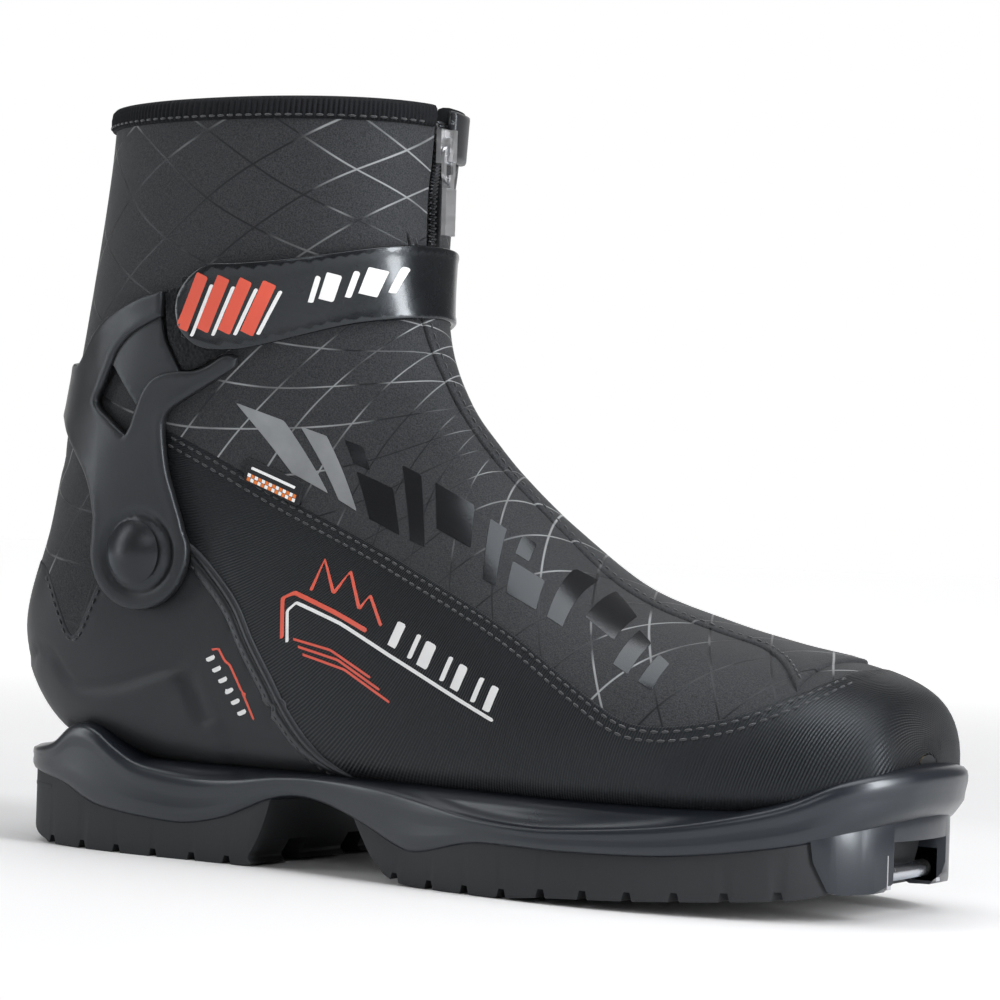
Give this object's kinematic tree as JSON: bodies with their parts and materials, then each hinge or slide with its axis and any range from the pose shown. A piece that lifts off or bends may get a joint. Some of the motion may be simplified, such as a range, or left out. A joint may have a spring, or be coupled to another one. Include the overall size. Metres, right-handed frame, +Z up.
{
  "type": "cross country ski boot",
  "caption": "Back-country touring ski boot, right foot, with a pivoting ankle cuff, hook-and-loop strap, front zip and a grooved sole with a steel toe bar.",
  "frame": {"origin": "on the floor under the middle of the sole's length and width", "axes": "+X towards the toe, +Y towards the boot's medial (inner) side, +Z up; it is a right boot"},
  "size_m": [0.3, 0.1017, 0.222],
  "materials": {
    "tread_rubber": "matte",
    "frame_plastic": "gloss",
    "steel": "satin",
    "board": "matte",
    "foam": "matte",
    "lining": "matte",
    "vamp": "fine grain",
    "counter": "satin",
    "trim": "matte",
    "softshell": "matte",
    "label": "woven",
    "rivet": "satin",
    "cuff_plastic": "satin",
    "knit": "ribbed",
    "hook_and_loop": "fuzzy",
    "strap": "semi-gloss",
    "zip_metal": "bright"
  },
  "bodies": {
    "boot": {"outsole_heel": "tread_rubber", "outsole_forefoot": "tread_rubber", "sole_frame": "frame_plastic", "toe_bar": "steel", "toe_bar_plate": "steel", "shank": "steel", "lasting_board": "board", "footbed": "foam", "foot_lining": "lining", "toe_puff": "board", "heel_stiffener": "board", "vamp_panel": "vamp", "heel_counter_panel": "counter", "counter_piping": "trim", "foot_softshell": "softshell", "foot_zip_tapes": "trim", "foot_zip_coil": "trim", "instep_placket": "softshell", "tongue": "foam", "eyelet_stays": "trim", "eyelets": "steel", "woven_label": "label", "pivot_rivet_lateral": "rivet", "pivot_rivet_medial": "rivet", "rivet_washers": "steel", "ankle_gusset": "softshell"},
    "cuff": {"cuff_shell": "cuff_plastic", "shaft_softshell": "softshell", "shaft_foam": "foam", "shaft_lining": "lining", "collar_binding": "knit", "shaft_zip_tapes": "trim", "shaft_zip_coil": "trim", "zip_garage": "knit", "loop_tape": "hook_and_loop", "strap_band": "strap", "strap_rivets": "steel"},
    "strap_tab": {"strap_tab": "strap", "hook_tape": "hook_and_loop"},
    "zip_slider": {"zip_slider": "zip_metal"},
    "zip_link": {"zip_link": "zip_metal"},
    "zip_puller": {"zip_puller": "zip_metal"}
  },
  "joints": [
    {"name": "cuff_pivot", "type": "hinge", "parent": "boot", "child": "cuff", "pos_m": [-0.089, 0, 0.089], "axis": [0, 1, 0], "range_deg": [-6, 15], "stiffness_Nm_per_rad": 4, "deforming": ["ankle_gusset", "woven_label"]},
    {"name": "strap_peel", "type": "hinge", "parent": "cuff", "child": "strap_tab", "pos_m": [-0.035, -0.0335, 0.165], "axis": [0, 0, 1], "range_deg": [0, 80]},
    {"name": "zip_slide", "type": "slide", "parent": "cuff", "child": "zip_slider", "axis": [0, 0, -1], "range_m": [0, 0.02]},
    {"name": "zip_link_swing", "type": "hinge", "parent": "zip_slider", "child": "zip_link", "pos_m": [-0.00895, 0, 0.2097], "axis": [0, -1, 0], "range_deg": [0, 120]},
    {"name": "zip_puller_swing", "type": "hinge", "parent": "zip_link", "child": "zip_puller", "pos_m": [-0.00895, 0, 0.1996], "axis": [0, -1, 0], "range_deg": [0, 90]}
  ]
}
